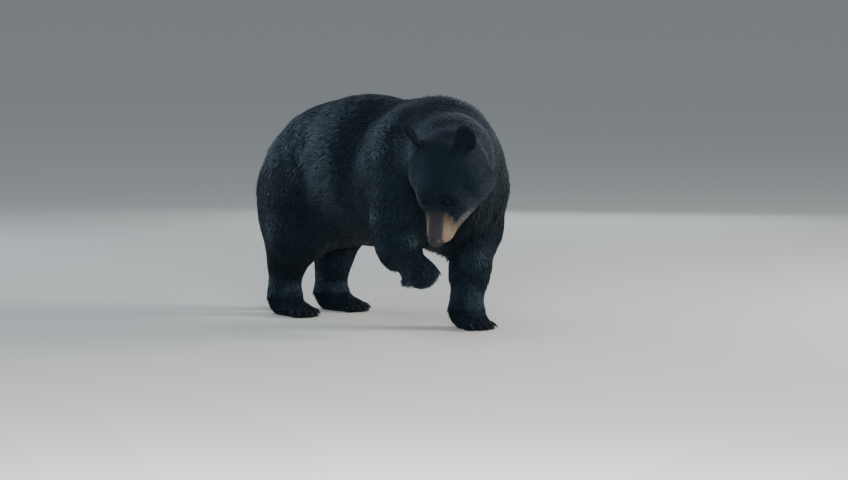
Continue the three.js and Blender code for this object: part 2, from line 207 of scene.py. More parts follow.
def in_head(points):
    """Points in metres, given in the head's frame in millimetres."""
    return (points - head_at) @ HEAD_AXES.T * 1000


def from_head(points):
    """Points of the head's frame, in metres."""
    return np.asarray(points, float) / 1000 @ HEAD_AXES + head_at


EYE_IN_HEAD = in_head(eye_left_at)
print("middle of the head", head_at.round(3), "left eye in its frame", EYE_IN_HEAD.round(1))

# %% [markdown]
# ## Frames of the paws and the ears
# A paw's frame stands on its sole, under the wrist or the heel: x points to the toes, y to the
# paw's left and z out of its back. The right forepaw is lifted and folded back at the wrist, so
# its sole faces up and back. An ear's frame stands at its root on the head, with x out of the
# cup and z to the tip. Toes, pads, claws and the fringe of the ears are all placed in them. The
# bear was laid out from a point under its belly, and the middle of its head tells where that is.


# %% Paw and ear frames
def turned(yaw, pitch, roll):
    """Axes of a frame as rows, in degrees: rolled about x, then nose up by pitch, then turned about z."""
    (cy, cp, cr), (sy, sp, sr) = (f(np.radians([yaw, -pitch, roll])) for f in (np.cos, np.sin))
    about_z = np.array([[cy, -sy, 0], [sy, cy, 0], [0, 0, 1]])
    about_y = np.array([[cp, 0, sp], [0, 1, 0], [-sp, 0, cp]])
    about_x = np.array([[1, 0, 0], [0, cr, -sr], [0, sr, cr]])
    return (about_z @ about_y @ about_x).T


HEAD_IN_LAYOUT = np.array([0.561, -0.231, 0.541])


def laid_out(x, y, z):
    """A place of the bear's layout, in metres, moved into the frame."""
    return np.array([x, y, z]) + head_at - HEAD_IN_LAYOUT


PAWS = {
    # node: (place of its frame in metres, axes, kind)
    "forepaw_left": (laid_out(0.300, 0.068, 0.0), turned(-8, 0, 0), "fore"),
    "forepaw_right": (laid_out(0.3702, -0.2119, 0.2424), turned(144, -32, 153), "fore"),
    "hind_paw_left": (laid_out(-0.450, 0.106, 0.0), turned(6, 0, 0), "hind"),
    "hind_paw_right": (laid_out(-0.418, -0.122, 0.0), turned(-4, 0, 0), "hind"),
}
# kind: (reach of the middle toe, sideways gap of two toes, length of a claw), in millimetres
TOES = {"fore": (92.0, 20.5, 36.0), "hind": (128.0, 19.0, 25.0)}
TOE_HALF = np.array([25.0, 13.0, 17.0])
EARS = {
    # node: (its root in the head's frame in millimetres, axes within the head's frame)
    "ear_left": (np.array([-46.0, 84.0, 58.0]), turned(30, 26, -22)),
    "ear_right": (np.array([-46.0, -92.0, 52.0]), turned(-42, 14, 44)),
}
EAR_HALF_WIDTH, EAR_HALF_HEIGHT, EAR_MIDDLE = 37.0, 55.0, 44.0


def toe_middles(kind):
    """Middles of the five toes in the paw's frame: side by side, the outer ones further back."""
    reach_x, gap, _ = TOES[kind]
    n = np.arange(-2, 3)
    return np.stack([reach_x - 4.2 * n**2, n * gap, np.full(5, TOE_HALF[2])], 1)


def in_paw(points, name):
    """Points in metres, given in a paw's frame in millimetres."""
    place, axes, _ = PAWS[name]
    return (points - place) @ axes.T * 1000


def from_paw(points, name):
    """Points of a paw's frame, in metres."""
    place, axes, _ = PAWS[name]
    return np.asarray(points, float) / 1000 @ axes + place


def in_ear(points, name):
    """Points in metres, given in an ear's frame in millimetres."""
    ear_root, axes = EARS[name]
    return (in_head(points) - ear_root) @ axes.T


def ear_oval(in_ear_frame):
    """0 in the middle of the ear's cup and 1 at its rim, which is an oval seen along x."""
    across, up = in_ear_frame[:, 1], in_ear_frame[:, 2] - EAR_MIDDLE
    return np.hypot(across / EAR_HALF_WIDTH, up / EAR_HALF_HEIGHT)


for name in PAWS:
    box_low, box_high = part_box(name)
    print(name, "solid reaches", in_paw(np.array([box_low, box_high]), name).round(0).tolist())

# %% [markdown]
# ## Meshes as arrays
# Every surface here is worked out as whole numpy arrays and put into a mesh in one go. These
# helpers read a mesh into arrays, make one from arrays, and average a value between neighbours,
# which is what smooths a surface and what spreads a direction or a depth over it.


# %% Array helpers
def read_mesh(mesh):
    """Vertex places, triangles, and edges of a mesh as arrays."""
    places = np.empty(len(mesh.vertices) * 3, np.float32)
    mesh.vertices.foreach_get("co", places)
    mesh.calc_loop_triangles()
    triangles = np.empty(len(mesh.loop_triangles) * 3, np.int32)
    mesh.loop_triangles.foreach_get("vertices", triangles)
    edges = np.empty(len(mesh.edges) * 2, np.int32)
    mesh.edges.foreach_get("vertices", edges)
    return places.reshape(-1, 3).astype(float), triangles.reshape(-1, 3), edges.reshape(-1, 2)


def new_object(name, mesh):
    """A smooth-shaded object that shows the mesh, linked into the scene."""
    mesh.shade_smooth()
    made = bpy.data.objects.new(name, mesh)
    bpy.context.scene.collection.objects.link(made)
    return made


def mesh_of(name, places, faces):
    """A mesh from vertex places and an array of faces that all have the same number of corners."""
    mesh = bpy.data.meshes.new(name)
    mesh.vertices.add(len(places))
    mesh.vertices.foreach_set("co", np.asarray(places, np.float32).ravel())
    mesh.loops.add(faces.size)
    mesh.loops.foreach_set("vertex_index", np.asarray(faces, np.int32).ravel())
    mesh.polygons.add(len(faces))
    mesh.polygons.foreach_set("loop_start", np.arange(0, faces.size, faces.shape[1], dtype=np.int32))
    mesh.update(calc_edges=True)
    return mesh


def ring_faces(rows, columns):
    """Triangles of a grid whose last row and last column meet its first ones, as on a ring."""
    r, c = (a.ravel() for a in np.meshgrid(np.arange(rows), np.arange(columns), indexing="ij"))
    below, across = (r + 1) % rows, (c + 1) % columns
    corners = [r * columns + c, r * columns + across, below * columns + across, below * columns + c]
    return np.concatenate([np.stack([corners[k] for k in pick], 1) for pick in ((0, 1, 2), (0, 2, 3))])


def capped_faces(rows, columns):
    """Triangles of a grid of rings with a single vertex before its first ring and one after its last."""
    r, c = (a.ravel() for a in np.meshgrid(np.arange(rows - 1), np.arange(columns), indexing="ij"))
    across = (c + 1) % columns
    a, b = 1 + r * columns + c, 1 + r * columns + across
    around = np.arange(columns)
    after = (around + 1) % columns
    last = 1 + (rows - 1) * columns
    caps = [np.stack([np.zeros_like(around), 1 + after, 1 + around], 1)]
    caps.append(np.stack([np.full_like(around, last + columns), last + around, last + after], 1))
    sides = [np.stack([a, b, b + columns], 1), np.stack([a, b + columns, a + columns], 1)]
    return np.concatenate(caps[:1] + sides + caps[1:])


def ball_angles(rows, columns):
    """Angle from the pole and angle round it for each vertex of a capped ball."""
    polar = np.linspace(0, math.pi, rows + 2)
    around = np.arange(columns) * 2 * math.pi / columns
    inner = [a.ravel() for a in np.meshgrid(polar[1:-1], around, indexing="ij")]
    return np.concatenate([[0.0], inner[0], [math.pi]]), np.concatenate([[0.0], inner[1], [0.0]])


def facing_out(places, triangles):
    """The triangles, each turned round if together they enclose a negative volume."""
    a, b, c = (places[triangles[:, k]] for k in range(3))
    return triangles if np.einsum("ij,ij->", a, np.cross(b, c)) > 0 else triangles[:, ::-1]


def bare_piece(name, places, triangles, material):
    """A separate closed piece of the bear, such as a claw or an eye, that rides with its body."""
    piece = new_object(name, mesh_of(name, places, facing_out(places, triangles)))
    piece.data.materials.append(material)
    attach(piece, "root")
    print(name, len(triangles), "triangles")
    return piece


def neighbour_mean(values, edges):
    """For each vertex, the mean of the values at the vertices that share an edge with it."""
    count = len(values)
    a, b = edges[:, 0], edges[:, 1]
    degree = np.bincount(a, minlength=count) + np.bincount(b, minlength=count)
    sums = [np.bincount(a, v[b], count) + np.bincount(b, v[a], count) for v in values.T]
    return np.stack(sums, 1) / np.maximum(degree, 1)[:, None]


def spread(values, edges, passes, share=0.8):
    """Moves each value by a share of the way to its neighbours' mean, a number of times."""
    for _ in range(passes):
        values = values + share * (neighbour_mean(values, edges) - values)
    return values


def vertex_normals(places, triangles):
    """Outward unit normal of each vertex: the mean of its triangles' normals by area."""
    a, b, c = (places[triangles[:, k]] for k in range(3))
    faces = np.cross(b - a, c - a)
    around = [[np.bincount(triangles[:, k], face, len(places)) for k in range(3)] for face in faces.T]
    return unit(np.sum(around, axis=1).T)


def smoothstep(v, low, high):
    """0 below low, 1 above high, and a smooth S between them."""
    t = np.clip((v - low) / (high - low), 0, 1)
    return t * t * (3 - 2 * t)


# %% [markdown]
# ## One skin for the whole bear
# The bear has one skin, while its solids are parted by thin cuts. Copies of the solids are joined
# and remeshed with small voxels, which closes every cut. The skin could also be built afresh, but
# a copy keeps the true shape for certain.

# %% Join and remesh
EYES = ["eye_left", "eye_right"]
FLESH = sorted(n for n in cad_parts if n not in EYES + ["nose"])
ALL_NODES = FLESH + EYES + ["nose"]
SKIN_VOXEL = 0.004


def merged(node_names):
    """The vertices and triangles of some solids in one pair of arrays, with each triangle's node."""
    all_places, all_triangles, owner, start = [], [], [], 0
    for number, name in enumerate(node_names):
        places, triangles, _ = read_mesh(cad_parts[name].data)
        places, same = np.unique(places.round(6), axis=0, return_inverse=True)
        all_places.append(places)
        all_triangles.append(same.reshape(-1)[triangles] + start)
        owner.append(np.full(len(triangles), number))
        start += len(places)
    return np.concatenate(all_places), np.concatenate(all_triangles), np.concatenate(owner)


solid_places, solid_triangles, solid_owner = merged(ALL_NODES)
rough = new_object("rough_skin", mesh_of("rough_skin", solid_places, solid_triangles))
remesh = rough.modifiers.new("voxels", "REMESH")
remesh.mode = "VOXEL"
remesh.voxel_size = SKIN_VOXEL
remeshed = bpy.data.meshes.new_from_object(rough.evaluated_get(bpy.context.evaluated_depsgraph_get()))
bpy.data.objects.remove(rough)
places, triangles, edges = read_mesh(remeshed)
print("remeshed skin:", len(places), "vertices,", len(triangles), "triangles")

# %% [markdown]
# ## What each part of the body is like
# The skin lies deeper under the long coat of the trunk than under the short hair of the face and
# feet. For each part, the table gives in millimetres the coat's depth, the length and the half
# width of a lock of hair, how much of the surface is smoothed, and how many locks grow on a
# square metre.

# %% Table of parts
PARTS = {
    # part: (depth, lock length, half width, smoothing, locks in thousands per square metre)
    "trunk": (15, 72, 2.0, 28, 46),
    "neck": (15, 62, 1.9, 22, 52),
    "head": (7, 21, 0.82, 9, 178),
    "lower_jaw": (5, 16, 1.1, 7, 110),
    "ear": (3.0, 16, 0.9, 3, 170),
    "foreleg": (11, 46, 1.75, 18, 66),
    "hind_leg": (12, 52, 1.8, 18, 62),
    "forepaw": (5, 22, 1.2, 4, 105),
    "hind_paw": (5, 22, 1.2, 4, 105),
    "tail": (12, 52, 1.8, 12, 66),
}
PART_OF_OWNER = [next((p for p in PARTS if n.startswith(p)), "head") for n in ALL_NODES]
solid_tree = BVHTree.FromPolygons(solid_places.tolist(), solid_triangles.tolist())


def owner_of(points):
    """Number of the solid nearest to each point."""
    found = [solid_tree.find_nearest(p)[2] for p in points.tolist()]
    return solid_owner[np.array(found)]


def part_values(owner, column):
    """One column of the table of parts, for each owner number."""
    by_owner = np.array([PARTS[p][column] for p in PART_OF_OWNER], float)
    return by_owner[owner]


owner = owner_of(places)
print({n: int((owner == i).sum()) for i, n in enumerate(ALL_NODES)})

# %% [markdown]
# ## Round toes
# The solids give the paws' outline with few faces, and their claws as thin spikes. The skin's
# fine mesh is pulled onto five round toes, spikes and all: the real claws come later as pieces.


# %% Round toes
def onto_toes(points, name):
    """Pulls the front of a paw onto its toes. A toe is an ellipsoid, and a point beside or ahead of
    one slides along the line from the toe's middle until it meets the surface."""
    q = in_paw(points, name)
    middles = toe_middles(PAWS[name][2])
    offset = q[:, None, :] - middles[None]
    size = np.linalg.norm(offset / TOE_HALF, axis=2)
    nearest = size.argmin(1)
    rows = np.arange(len(q))
    front = smoothstep(offset[rows, nearest, 0], -14, 4) * (size[rows, nearest] < 3.2)
    on_toe = middles[nearest] + offset[rows, nearest] / np.maximum(size[rows, nearest], 0.2)[:, None]
    return from_paw(q + (on_toe - q) * front[:, None], name)


for name in PAWS:
    mine = owner == ALL_NODES.index(name)
    before = places[mine]
    places[mine] = onto_toes(before, name)
    moved = np.linalg.norm(places[mine] - before, axis=1) * 1000
    print(name, "toes move", int((moved > 1).sum()), "points, by up to", moved.max().round(1), "mm")

# %% [markdown]
# ## Pads under the paws
# A bear walks on bare leathery pads: one under each toe, a broad one across the palm or along the
# whole hind sole, and a small one under the outer wrist. They lie where the solids meet the
# floor, and the hairy skin between them is hollow by a few millimetres.


# %% Pads
PADS = {
    # kind: (x, y, half length, half width) of the broad pads, in millimetres
    "fore": ((53, 0, 24, 44), (6, -20, 13, 12)),
    "hind": ((52, 0, 55, 38),),
}


def pad_share(q, kind):
    """1 on a pad and 0 between pads, in the paw's frame: inside one of several ovals."""
    share = np.zeros(len(q))
    toes = [(x - 3, y, 13, 9.5) for x, y, _ in toe_middles(kind)]
    for x, y, half_length, half_width in (*PADS[kind], *toes):
        oval = np.hypot((q[:, 0] - x) / half_length, (q[:, 1] - y) / half_width)
        share = np.maximum(share, 1 - smoothstep(oval, 0.86, 1.08))
    return share


def sole_share(q, normals_in_paw):
    """1 on the underside of a paw, in its frame, where the skin faces down and is low."""
    return smoothstep(-normals_in_paw[:, 2], 0.45, 0.8) * (1 - smoothstep(q[:, 2], 8, 16))


def paw_shares(points, normals, owner):
    """For every point, how much it is sole and how much it is pad."""
    sole, pad = np.zeros(len(points)), np.zeros(len(points))
    for name, (_, axes, kind) in PAWS.items():
        mine = owner == ALL_NODES.index(name)
        q = in_paw(points[mine], name)
        sole[mine] = sole_share(q, normals[mine] @ axes.T)
        pad[mine] = sole[mine] * pad_share(q, kind)
    return sole, pad


# %% [markdown]
# ## Smooth the facets and sink under the coat
# The solids are faceted, and a neighbour average rounds their facets away, more on the broad
# trunk than on the head and feet. Then each vertex sinks along its normal by the depth of the
# coat there, which is itself averaged so that no step shows between two parts. Only the pads stay
# where the solids are.

# %% Where the coat is trimmed
FACE_NODES = ["head", "lower_jaw", "nose", *EYES]
TRIM_DEPTH, TRIM_LENGTH, TRIM_WIDTH = 0.72, 0.5, 0.25


def on_face(owner):
    """True where the nearest solid belongs to the head, ears apart."""
    return np.isin(owner, [ALL_NODES.index(n) for n in FACE_NODES])


def trimmed(points, owner):
    """How much shorter and flatter the hair is than on the rest of the head, from 0 to 1: all of it
    on the muzzle, and round each eye as a bell curve of the distance."""
    q = in_head(points)
    share = smoothstep(q[:, 0], 112, 165)
    for side in SIDES:
        from_eye = ((q - EYE_IN_HEAD * [1, side, 1]) ** 2).sum(1)
        share = np.maximum(share, 0.9 * np.exp(-from_eye / (2 * 19.0**2)))
    return share * on_face(owner)


# %% Smooth and sink
FLOOR_CLEAR = 0.0008
SOLE_HOLLOW = 0.0045
NECK_SMOOTHING = 34
HEAD_AND_NECK = [ALL_NODES.index("head"), ALL_NODES.index("neck")]
border = np.zeros((len(places), 1))
pairs = owner[edges]
across_border = np.isin(pairs, HEAD_AND_NECK).all(1) & (pairs[:, 0] != pairs[:, 1])
border[edges[across_border].ravel()] = 1.0
border = smoothstep(spread(border, edges, 90)[:, 0], 0.01, 0.09)
reach = spread(part_values(owner, 3)[:, None], edges, 30)[:, 0]
reach = reach + (NECK_SMOOTHING - reach) * border
passes_wanted = 2 * (reach / (SKIN_VOXEL * 1000)) ** 2 / 0.8
most_passes = int(passes_wanted.max())
for turn in range(most_passes):
    share = 0.8 * np.clip(passes_wanted - turn, 0, 1)[:, None]
    places = places + share * (neighbour_mean(places, edges) - places)
depth = spread(part_values(owner, 0)[:, None], edges, 150)[:, 0] / 1000
depth = depth * (1 - TRIM_DEPTH * trimmed(places, owner))
normals = unit(spread(vertex_normals(places, triangles), edges, 6))
sole, pad = paw_shares(places, normals, owner)
depth = depth * (1 - sole) + SOLE_HOLLOW * sole * (1 - pad)
places = places - normals * depth[:, None]
places[:, 2] = np.maximum(places[:, 2], FLOOR_CLEAR)
print("passes:", most_passes, " depth in mm:", (depth.min() * 1000).round(1), (depth.max() * 1000).round(1))

# %% [markdown]
# ## A finer mesh for the face
# The face holds the lids, the lips and the whisker pads, so its faces are split once more. The
# rest of the body stays as it is.

# %% Split the faces of the face
FACE_FROM = 62.0
remeshed.vertices.foreach_set("co", places.astype(np.float32).ravel())
in_face = in_head(places)
face_vertex = (in_face[:, 0] > FACE_FROM) & (abs(in_face[:, 1]) < 110) & (abs(in_face[:, 2]) < 145)
face_vertex &= on_face(owner)
shape = bmesh.new()
shape.from_mesh(remeshed)
shape.verts.ensure_lookup_table()
chosen = [e for e in shape.edges if face_vertex[e.verts[0].index] and face_vertex[e.verts[1].index]]
bmesh.ops.subdivide_edges(shape, edges=chosen, cuts=1, use_grid_fill=True)
bmesh.ops.triangulate(shape, faces=[f for f in shape.faces if len(f.verts) > 4])
shape.to_mesh(remeshed)
shape.free()
places, triangles, edges = read_mesh(remeshed)
owner = owner_of(places)
print("skin with a fine face:", len(places), "vertices,", len(triangles), "triangles")

# %% [markdown]
# ## Features of the face
# The face is modelled as a sculptor adds and presses clay: each entry is a soft swelling or
# hollow on both sides of the head, which moves the skin along its normal by a height that fades
# with distance like a bell curve. The mouth is a narrow groove along the side of the muzzle, with
# a fuller upper lip over it.

# %% Swellings and hollows
FACE_FORMS = {
    # name: (x, y, z, radius, height) in the head's frame, in millimetres
    "eye socket": (120, 47, 24, 14, -3.2),
    "tear hollow": (138, 31, 18, 10, -2.6),
    "brow": (101, 41, 50, 12, 3.4),
    "forehead furrow": (104, 0, 52, 15, -2.6),
    "cheek bone": (92, 74, 0, 24, 3.0),
    "hollow before the cheek": (136, 50, -24, 22, -3.2),
    "whisker pad": (192, 31, -34, 18, 3.6),
    "nostril wing": (217, 19, -20, 10, 2.2),
    "bridge side": (172, 27, -4, 15, -1.6),
    "chin": (190, 0, -80, 16, 2.6),
    "under the nose": (214, 0, -42, 11, 2.0),
}
LIP_BACK, LIP_FRONT = 102.0, 229.0
LIP_LOW, LIP_BOW_FROM, LIP_BOW_LENGTH = -60, 108, 120


def above_lip(q):
    """Height over the line between the lips, which bows up like half a sine wave and rises forward."""
    ahead = q[:, 0] - LIP_BOW_FROM
    line = LIP_LOW + 4 * np.sin(ahead / LIP_BOW_LENGTH * math.pi) + 0.06 * ahead
    return q[:, 2] - line


def along_lip(q):
    """1 along the mouth and 0 past its corner and past the nose."""
    front = 1 - smoothstep(q[:, 0], LIP_FRONT - 14, LIP_FRONT)
    return smoothstep(q[:, 0], LIP_BACK, LIP_BACK + 18) * front


local = in_head(places)
normals = vertex_normals(places, triangles)
lift = np.zeros(len(places))
on_head = on_face(owner)
for x, y, z, radius, height in FACE_FORMS.values():
    for side in (1, -1) if y else (1,):
        away = ((local - np.array([x, side * y, z])) ** 2).sum(1)
        lift += height * np.exp(-away / (2 * radius**2))
gap = above_lip(local)
lift -= 4.4 * along_lip(local) * np.exp(-(gap**2) / (2 * 2.6**2))
lift += 2.0 * along_lip(local) * np.exp(-((gap - 7) ** 2) / (2 * 4.0**2))
places = places + normals * (lift * on_head)[:, None] / 1000
print("face moves by", lift[on_head].min().round(1), "to", lift[on_head].max().round(1), "mm")

# %% [markdown]
# ## Room for the eyeballs
# An eyeball is a ball under the skin with lids drawn over it. Around each eye the skin is laid
# on a ball a little larger than the eyeball, so that the lids bulge, and inside the slit between
# the lids it is pushed back behind the eyeball. The slit is wider than it is high.

# %% Skin around the eyes
EYE_RADIUS = 11.0
EYE_SUNK = 2.0
LID = 1.2
SLIT_HALF_WIDTH = math.radians(47)
SLIT_ABOVE, SLIT_BELOW = math.radians(27), math.radians(21)
SLIT_POWER = 1.45
GAZE = unit(np.array([0.66, 0.56, 0.50]))
TO_INNER_CORNER = np.array([0.75, -0.45, -0.45])


def eye_axes(side):
    """Middle of an eyeball and its axes in the head's frame: the gaze, the way to the inner corner
    of the lids, and up; side is 1 for the left eye and -1 for the right one."""
    mirror = np.array([1, side, 1])
    gaze = GAZE * mirror
    inner = TO_INNER_CORNER * mirror
    inner = unit(inner - gaze * (inner @ gaze))
    return EYE_IN_HEAD * mirror - EYE_SUNK * gaze, gaze, inner, side * np.cross(inner, gaze)


def slit_reach(angle):
    """Half opening of the lids in a direction round the gaze: an almond, from a superellipse whose
    low power gives it two corners, and whose upper half is higher than its lower one."""
    half_height = np.where(np.sin(angle) > 0, SLIT_ABOVE, SLIT_BELOW)
    wide, high = np.abs(np.cos(angle)) / SLIT_HALF_WIDTH, np.abs(np.sin(angle)) / half_height
    return (wide**SLIT_POWER + high**SLIT_POWER) ** (-1 / SLIT_POWER)


local = in_head(places)
for side in SIDES:
    middle, gaze, inner, up = eye_axes(side)
    offset = local - middle
    distance = np.linalg.norm(offset, axis=1)
    near = (distance < 26) & on_head & (offset @ gaze > -4)
    height, u, v = offset[near] @ gaze, offset[near] @ inner, offset[near] @ up
    from_axis = np.arccos(np.clip(height / distance[near], -1, 1))
    inside = 1 - smoothstep(from_axis / slit_reach(np.arctan2(v, u)), 0.95, 1.15)
    lid = EYE_RADIUS + LID
    fade = 1 - smoothstep(distance[near], 16, 26)
    lid_share = fade * (1 - smoothstep(from_axis, 1.0, 1.5))
    wanted = distance[near] + (lid - distance[near]) * np.where(distance[near] < lid, fade, lid_share)
    wanted = wanted * (1 - inside) + (EYE_RADIUS - 2.5) * inside
    local[near] = middle + offset[near] / distance[near][:, None] * wanted[:, None]
places = np.where(on_head[:, None], from_head(local), places)
print("eyes look along", eye_axes(1)[1].round(2), "and", eye_axes(-1)[1].round(2))

# %% [markdown]
# ## Colours of the coat
# The coat is black with a blue sheen. The muzzle differs: tan on its sides, with painted shade as a dark
# grey band along the bridge on its top, and grey-brown along the jaw below the mouth, partly its own colour
# and partly a painted rim highlight. The tan starts before the inner corner of the eye and its border
# slopes forward down the cheek. Each ear has a fringe of greyer hair, which is a painted rim highlight,
# round a cup darkened as painted shade. One function gives the colour for any place, and both the skin and
# the hair ask it, so they carry the same markings.

# %% Markings
BLACK = np.array([0.0019, 0.0033, 0.0050])
TAN = np.array([0.068, 0.043, 0.026])
PALE_TAN = np.array([0.250, 0.178, 0.112])
# The bridge's grey is painted shade: the top of the muzzle, tan like its sides, is painted dark as if in
# shadow.
BRIDGE_SHADE_GREY = np.array([0.0240, 0.0190, 0.0210])
# The jaw's grey-brown is partly its own lighter colour and partly a painted highlight of the rim light
# along the jaw's edge.
JAW_GREY_AND_RIM_HIGHLIGHT = np.array([0.105, 0.090, 0.076])
LIP_BLACK = np.array([0.006, 0.005, 0.005])
# The greyer ear fringe is a painted highlight of rim light on the ears' edges.
EAR_RIM_HIGHLIGHT = np.array([0.012, 0.014, 0.017])
# The darker ear cup is painted shade in the hollow of the ear.
EAR_CUP_SHADE = np.array([0.0011, 0.0018, 0.0026])
TAN_FROM, TAN_SLOPE, JAW_FROM = 146, 0.36, 126


def mixed(a, b, share):
    """Colours a and b mixed; share 0 is all a and 1 is all b."""
    return a + (b - a) * share[:, None]


def markings(points):
    """Coat colour at each point: black, then grey-brown along the jaw with a painted rim highlight on it,
    tan in front of a border that slopes forward down the cheek, paler to the lips, grey on the bridge as
    painted shade, black lips, and on each ear a cup darkened as painted shade inside a grey fringe that is
    a painted rim highlight."""
    q = in_head(points)
    x, y, z = q.T
    on_muzzle = (1 - smoothstep(np.hypot(y, z + 30), 82, 100)) * (x < 275)
    wobble = 2.5 * np.sin(z * 0.31 + 1.0) + 1.5 * np.sin(y * 0.45 + z * 0.2)
    tan_border = TAN_FROM + TAN_SLOPE * np.clip(31 - z, 0, 56) + wobble
    jaw_border = JAW_FROM - 20 * smoothstep(-z, 30, 70) + wobble
    # The jaw band: partly the jaw's own colour, partly a painted rim highlight along its edge.
    jaw = smoothstep(x - jaw_border, -20, 16) * smoothstep(-z, 22, 40) * on_muzzle
    tan = smoothstep(x - tan_border, -9, 10) * on_muzzle
    # Painted shade: the band along the bridge darkens the top of the muzzle.
    bridge = (1 - smoothstep(np.abs(y), 19, 31)) * smoothstep(z, -34, -10)
    toward_nose = smoothstep(x, 150, 225)
    side = mixed(TAN[None, :], PALE_TAN[None, :], smoothstep(x, TAN_FROM, 212))
    shaded_top = BRIDGE_SHADE_GREY[None, :] * (1 + 0.7 * toward_nose)[:, None]
    colour = mixed(np.broadcast_to(BLACK, (len(points), 3)), JAW_GREY_AND_RIM_HIGHLIGHT[None, :], jaw)
    colour = mixed(colour, mixed(side, shaded_top, bridge), tan)
    lip = along_lip(q) * np.exp(-(above_lip(q) ** 2) / (2 * 2.8**2)) * on_muzzle
    colour = mixed(colour, LIP_BLACK[None, :], lip)
    for name in EARS:
        e = in_ear(points, name)
        oval = ear_oval(e)
        near = (oval < 1.5) * (np.abs(e[:, 0]) < 40)
        # Painted highlight: the rim of each ear is greyer, as if light catches it.
        rim = smoothstep(oval, 0.78, 1.0) * near * smoothstep(e[:, 2], 20, 45)
        # Painted shade: the cup inside each ear is darkened.
        cup = (1 - smoothstep(oval, 0.55, 0.9)) * near * smoothstep(e[:, 0], -14, -6)
        colour = mixed(colour, EAR_CUP_SHADE[None, :], cup)
        colour = mixed(colour, EAR_RIM_HIGHLIGHT[None, :], rim)
    return colour


def paint(mesh, colours):
    """Stores one colour for each vertex in the attribute that the coat's finish reads."""
    layer = mesh.color_attributes.new("marking", "FLOAT_COLOR", "POINT")
    full = np.concatenate([colours, np.ones((len(colours), 1))], 1)
    layer.data.foreach_set("color", full.astype(np.float32).ravel())


# %% Finish of skin and hair
def hair_finish(name, roughness, specular, bump_scale, bump_strength):
    """The coat's finish: its painted marking, varied a little by noise, with a soft blue sheen."""
    material, tree, shader = finish(name, BLACK, roughness, Sheen_Weight=0.03, Sheen_Roughness=0.35)
    shader.inputs["Sheen Tint"].default_value = (0.35, 0.62, 0.9, 1)
    shader.inputs["Specular IOR Level"].default_value = specular
    shader.inputs["Specular Tint"].default_value = (0.43, 0.76, 1.0, 1)
    marking = tree.nodes.new("ShaderNodeVertexColor")
    marking.layer_name = "marking"
    noise = grain(tree, shader, bump_scale, bump_strength, 0.002)
    shade = tree.nodes.new("ShaderNodeMapRange")
    shade.inputs["To Min"].default_value = 0.72
    shade.inputs["To Max"].default_value = 1.28
    tree.links.new(noise.outputs["Fac"], shade.inputs["Value"])
    product = tree.nodes.new("ShaderNodeVectorMath")
    product.operation = "SCALE"
    tree.links.new(marking.outputs["Color"], product.inputs[0])
    tree.links.new(shade.outputs["Result"], product.inputs["Scale"])
    tree.links.new(product.outputs["Vector"], shader.inputs["Base Color"])
    return material


skin_finish = hair_finish("under_coat", 0.7, 0.08, 420, 0.5)
coat_finish = hair_finish("guard_hair", 0.50, 0.28, 260, 0.25)
print("finishes:", skin_finish.name, coat_finish.name)

# %% [markdown]
# ## The skin as one piece
# The skin keeps its fine face, and the rest is thinned, because the coat hides it. The arrays of
# the full skin stay for the hair to grow on.

# %% Skin piece
SKIN_TRIANGLES = 185000
skin_normals = vertex_normals(places, triangles)
remeshed.vertices.foreach_set("co", places.astype(np.float32).ravel())
skin = new_object("skin", remeshed)
thin_share = skin.vertex_groups.new(name="may_be_thinned")
body_vertices = np.flatnonzero(~((in_head(places)[:, 0] > 40) & on_head))
thin_share.add(body_vertices.tolist(), 1.0, "REPLACE")
thinner = skin.modifiers.new("thinner", "DECIMATE")
thinner.ratio = SKIN_TRIANGLES / len(triangles)
thinner.vertex_group = "may_be_thinned"
thinner.use_collapse_triangulate = True
thinned = bpy.data.meshes.new_from_object(skin.evaluated_get(bpy.context.evaluated_depsgraph_get()))
skin.modifiers.clear()
skin.vertex_groups.clear()
skin.data = thinned
thinned.shade_smooth()
thinned.materials.clear()
thinned.materials.append(skin_finish)
skin_places, skin_triangles, _ = read_mesh(thinned)
PAD_COLOUR = np.array([0.022, 0.018, 0.018])
thin_owner = owner_of(skin_places)
thin_normals = vertex_normals(skin_places, skin_triangles)
_, thin_pad = paw_shares(skin_places, thin_normals, thin_owner)
paint(thinned, mixed(markings(skin_places) * 0.75, PAD_COLOUR[None, :], thin_pad))
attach(skin, "root")
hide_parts(*FLESH)
a, b, c = (skin_places[skin_triangles[:, k]] for k in range(3))
volume = np.einsum("ij,ij->", a, np.cross(b, c)) / 6
print("skin:", len(skin_triangles), "triangles,", round(volume, 4), "cubic metres inside it")

# %% [markdown]
# ## Eyes
# An eyeball is a grid of angles from the gaze and round it. Its front swells into the clear
# cornea, and its colour goes by the angle from the gaze: a black pupil, a dark brown iris with
# fine spokes, and a nearly black rim. Its finish is smooth enough for a small wet catch light.

# %% Eyeballs
eye_finish, eye_tree, eye_shader = finish("wet_eye", (0.02, 0.01, 0.006), 0.07)
eye_shader.inputs["Specular IOR Level"].default_value = 0.11
eye_marking = eye_tree.nodes.new("ShaderNodeVertexColor")
eye_marking.layer_name = "marking"
eye_tree.links.new(eye_marking.outputs["Color"], eye_shader.inputs["Base Color"])
PUPIL = np.array([0.0006, 0.0006, 0.0006])
IRIS = np.array([0.0030, 0.0018, 0.0012])
EYE_RIM = np.array([0.0015, 0.0012, 0.0012])
CORNEA_SWELL = 0.8


def eye_colours(polar, around):
    """Pupil within 13 degrees of the gaze, iris with spokes out to 37 degrees, and rim beyond."""
    spokes = 0.8 + 0.25 * np.sin(around * 23 + 2 * np.sin(around * 7))
    iris = IRIS[None, :] * spokes[:, None]
    seen = mixed(PUPIL[None, :], iris, smoothstep(polar, math.radians(11), math.radians(15)))
    return mixed(seen, EYE_RIM[None, :], smoothstep(polar, math.radians(31), math.radians(38)))


